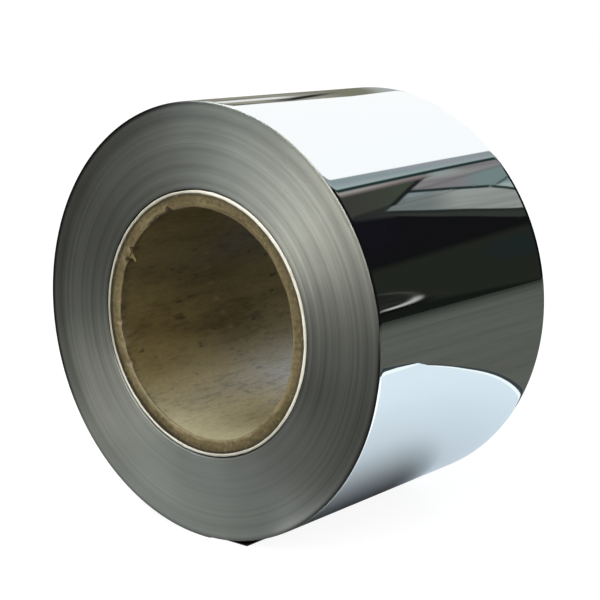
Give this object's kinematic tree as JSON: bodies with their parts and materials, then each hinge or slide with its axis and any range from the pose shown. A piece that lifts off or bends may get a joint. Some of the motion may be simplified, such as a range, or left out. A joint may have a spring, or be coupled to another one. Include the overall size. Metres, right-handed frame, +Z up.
{
  "type": "steel coil",
  "caption": "Coil of mirror-finished steel strip wound on a brown paper tube with a white paper sleeve, lying on its side, with an open bore through the tube.",
  "frame": {"origin": "on the floor under the middle of the coil, at the foot of its outer turn", "axes": "+Y along the coil's axis, +Z up, so that -Y is the end that shows in front"},
  "size_m": [0.288, 0.187, 0.288],
  "materials": {
    "mirror_steel": "mirror-bright strip surface, satin slit edges on the ends",
    "kraft_board": "matt brown kraft board, scuffed and stained in the bore",
    "white_paper": "matt white paper"
  },
  "bodies": {
    "root": {"steel_coil": "mirror_steel", "paper_tube": "kraft_board", "paper_sleeve": "white_paper"}
  },
  "joints": []
}
